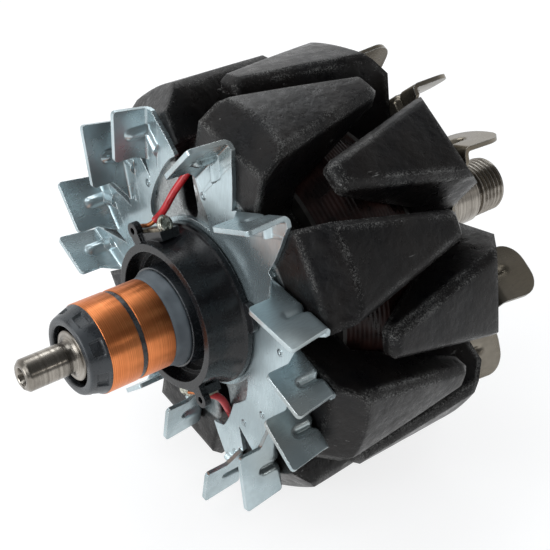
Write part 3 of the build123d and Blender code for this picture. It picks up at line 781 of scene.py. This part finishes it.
def pad_relief(x, radius, angle):
    """Gaps between the pads round the front band: a smooth-sided dip in every pitch."""
    pitch = 360.0 / PADS
    away = np.abs((angle - PAD_TURN - 90 + pitch / 2) % pitch - pitch / 2)
    across = np.clip((GAP_HALF_TURN - away) / 1.4, 0, 1)
    along = np.clip((x - PAD_FROM_X) / 0.35, 0, 1) * np.clip((PAD_TO_X - x) / 0.35, 0, 1)
    return -PAD_DEPTH * across * along * (radius > RING_BORE_R)


for number, (x0, x1) in enumerate(RING_STATIONS, start=1):
    points, faces = lathe(ring_profile(x0, x1, RING_R, RING_BORE_R), columns=256)
    ring = piece_from(f"turned_ring_{number}", points, faces, "ring_copper", f"slip_ring_{number}")
    crisp(ring, 60)

COLLAR_PROFILE = [
    (-78.6, 9.2), (-78.6, 11.2), (-78.4, 11.34), (-77.4, 11.5), (-76.4, 11.8), (-75.5, 12.25),
    (-75.2, 12.36), (-74.9, 12.38), (-74.7, 12.25), (-74.7, 9.2), (-78.6, 9.2),
]
points, faces = lathe(COLLAR_PROFILE, columns=192)
crisp(piece_from("flared_collar", points, faces, "collar_grey", "grey_collar"), 60)

CARRIER_PROFILE = [
    (-99.2, 7.6), (-100.5, 7.6), (-100.75, 7.7), (-100.9, 8.0), (-100.9, 9.2), (-100.75, 9.55),
    (-100.4, 9.75), (-99.3, 10.15), (-96.3, 11.1), (-96.1, 11.2), (-96.0, 11.2), (-96.0, 9.22),
    (-87.7, 9.22), (-87.7, 11.1), (-86.4, 11.1), (-86.4, 9.22), (-74.7, 9.22), (-74.7, 12.8),
    (-74.6, 12.88), (-66.0, 12.88), (-66.0, 9.2), (-99.2, 9.2), (-99.2, 7.6),
]
points, faces = lathe(CARRIER_PROFILE, columns=288, step=0.3, relief=pad_relief)
crisp(piece_from("moulded_carrier", points, faces, "carrier_black", "ring_carrier"), 40)


# Terminals
STRIP_R = 21.1
TERMINAL_X = -69.5
SOLDER_SPREAD = 2.15
SOLDER_LIFT = 0.75
SOLDER_UNDER = 0.7 * np.pi
SOLDER_PEAK = 0.12
SOLDER_STRETCH = 1.2

# Angle of each terminal's block, and of the solder on it
TERMINALS = ((64.0, 78.0), (252.0, 266.0))

# Folds round a drop: how deep, how many and where they start
SOLDER_FOLDS = ((0.1, 3, 0.7), (0.07, 5, 2.0), (0.05, 8, 0.0))


def solder_lump(block, at, rows=40, columns=64):
    """A cooled drop of solder that hangs over the strip: folded sides and a pulled-up peak."""
    polar_angle = np.linspace(0.0, SOLDER_UNDER, rows)[:, None]
    turn = np.arange(columns) * 2 * np.pi / columns
    folds = sum(depth * np.sin(count * turn + shift) for depth, count, shift in SOLDER_FOLDS)
    peak = SOLDER_PEAK * np.cos(polar_angle) ** 6
    reach = SOLDER_SPREAD * (0.86 + folds * np.sin(polar_angle) ** 2 + peak)
    side = reach * np.sin(polar_angle)
    along, across = side * np.cos(turn), side * np.sin(turn)
    rise = reach * np.cos(polar_angle) * SOLDER_STRETCH
    offset = STRIP_R * np.sin(np.radians(at - block))
    outward = flat_point(1.0, block)
    sideways = np.array([-outward[1], outward[0]])
    radius = STRIP_R + SOLDER_LIFT + rise
    y = radius * outward[0] + (offset + across) * sideways[0]
    z = radius * outward[1] + (offset + across) * sideways[1]
    points = np.stack([TERMINAL_X + along + 0 * radius, y, z], -1).reshape(-1, 3)
    return points, sheet_faces(rows, columns, wrap=True)[:, ::-1]


for number, (block, at) in enumerate(TERMINALS, start=1):
    points, faces = solder_lump(block, at)
    piece_from(f"solder_drop_{number}", points, faces, "solder", f"solder_{number}")

# Stage
FLOOR_HALF = 3.0
FLOOR_GLOW = 1.27
FLOOR_GLOW_SHARE = 0.62
PHOTOGRAPHER = (-0.49, -0.69, 0.54)
DARK_SIDE = 0.16
DIM_CEILING = 0.4
SKY = (0.9, 0.95, 1.0)
SKY_STRENGTH = 0.5
FLOOR_Z = cad_box[0][2]


def seen_directly(tree):
    """1 for light that the camera, a reflection or a clear piece sees, 0 for light that lights."""
    path = put(tree, "ShaderNodeLightPath")
    seen = reckon(tree, "MAXIMUM", path.outputs["Is Camera Ray"], path.outputs["Is Glossy Ray"])
    return reckon(tree, "MAXIMUM", seen, path.outputs["Is Transmission Ray"])


def either(tree, share, first, second):
    """Mixes two shaders by a share."""
    made = put(tree, "ShaderNodeMixShader")
    for socket, value in zip(made.inputs, (share, first.outputs[0], second.outputs[0])):
        wire(tree, socket, value)
    return made.outputs[0]


def pale_floor():
    """A wide pale floor that keeps the rotor's shadow."""
    mesh = bpy.data.meshes.new("floor")
    ways = ((-1, -1), (1, -1), (1, 1), (-1, 1))
    corners = [(across * FLOOR_HALF, back * FLOOR_HALF, FLOOR_Z) for across, back in ways]
    mesh.from_pydata(corners, [], [(0, 1, 2, 3)])
    floor = bpy.data.objects.new("floor", mesh)
    scene.collection.objects.link(floor)
    made, tree = new_material("floor_white")
    matt = put(tree, "ShaderNodeBsdfDiffuse", Color=(0.85, 0.85, 0.85))
    glow = put(tree, "ShaderNodeEmission", Color=(1.0, 1.0, 1.0), Strength=FLOOR_GLOW)
    share = reckon(tree, "MULTIPLY", seen_directly(tree), FLOOR_GLOW_SHARE)
    put(tree, "ShaderNodeOutputMaterial", Surface=either(tree, share, matt, glow))
    mesh.materials.append(made)


def studio_world():
    """A white room, darker overhead and on the side that the photographer stands on."""
    world = bpy.data.worlds.new("studio")
    scene.world = world
    world.use_nodes = True
    tree = world.node_tree
    tree.nodes.clear()
    looking = put(tree, "ShaderNodeTexCoord").outputs["Generated"]
    facing = put(tree, "ShaderNodeVectorMath", {"operation": "DOT_PRODUCT"})
    wire(tree, facing.inputs[0], looking)
    facing.inputs[1].default_value = PHOTOGRAPHER
    beside = spread(tree, facing.outputs["Value"], -0.4, 0.75, 1.0, DARK_SIDE)
    rise = put(tree, "ShaderNodeSeparateXYZ", Vector=looking)
    overhead = spread(tree, rise.outputs[2], 0.15, 0.85, 1.0, DIM_CEILING)
    shade = reckon(tree, "MULTIPLY", beside, overhead)
    backdrop = put(tree, "ShaderNodeBackground", Color=(1.0, 1.0, 1.0), Strength=shade)
    sky = put(tree, "ShaderNodeBackground", Color=SKY, Strength=SKY_STRENGTH)
    put(tree, "ShaderNodeOutputWorld", Surface=either(tree, seen_directly(tree), sky, backdrop))


pale_floor()
studio_world()


def lamp(name, place, size, power, colour):
    """A square soft lamp at a place, aimed at the rotor's middle."""
    light = bpy.data.lights.new(name, "AREA")
    light.size = size
    light.energy = power
    light.color = colour
    held = bpy.data.objects.new(name, light)
    scene.collection.objects.link(held)
    held.location = place
    held.rotation_euler = (Vector(MIDDLE) - Vector(place)).to_track_quat("-Z", "Y").to_euler()


# Each lamp: name, place, size in metres, power in watts, colour
MIDDLE = (-0.05, 0.0, 0.0)
LAMPS = (
    ("window_behind", (0.3, 0.5, 0.62), 0.36, 1.3, (0.95, 0.98, 1.0)),
    ("overhead_panel", (-0.3, 0.25, 0.75), 0.5, 1.6, (0.93, 0.97, 1.0)),
    ("left_window", (-0.85, 0.12, 0.2), 0.4, 3.4, (0.95, 0.98, 1.0)),
    ("small_window", (0.42, -1.0, 0.42), 0.12, 0.3, (1.0, 0.97, 0.93)),
)
for name, place, size, power, colour in LAMPS:
    lamp(name, place, size, power, colour)

# Camera
PHOTO_SIZE = 550
FOCAL_PIXELS = 1200
SENSOR = 36.0
EYE = Vector((-0.2070, -0.2068, 0.1611))
LOOK_DOWN = 31.4
LOOK_TURN = -39.0

camera = bpy.data.cameras.new("camera")
camera.sensor_width = SENSOR
camera.lens = FOCAL_PIXELS / PHOTO_SIZE * SENSOR
held = bpy.data.objects.new("camera", camera)
scene.collection.objects.link(held)
held.location = EYE
held.rotation_euler = Euler((np.radians(90 - LOOK_DOWN), 0, np.radians(LOOK_TURN)), "XYZ")
scene.camera = held
scene.view_settings.view_transform = "Standard"
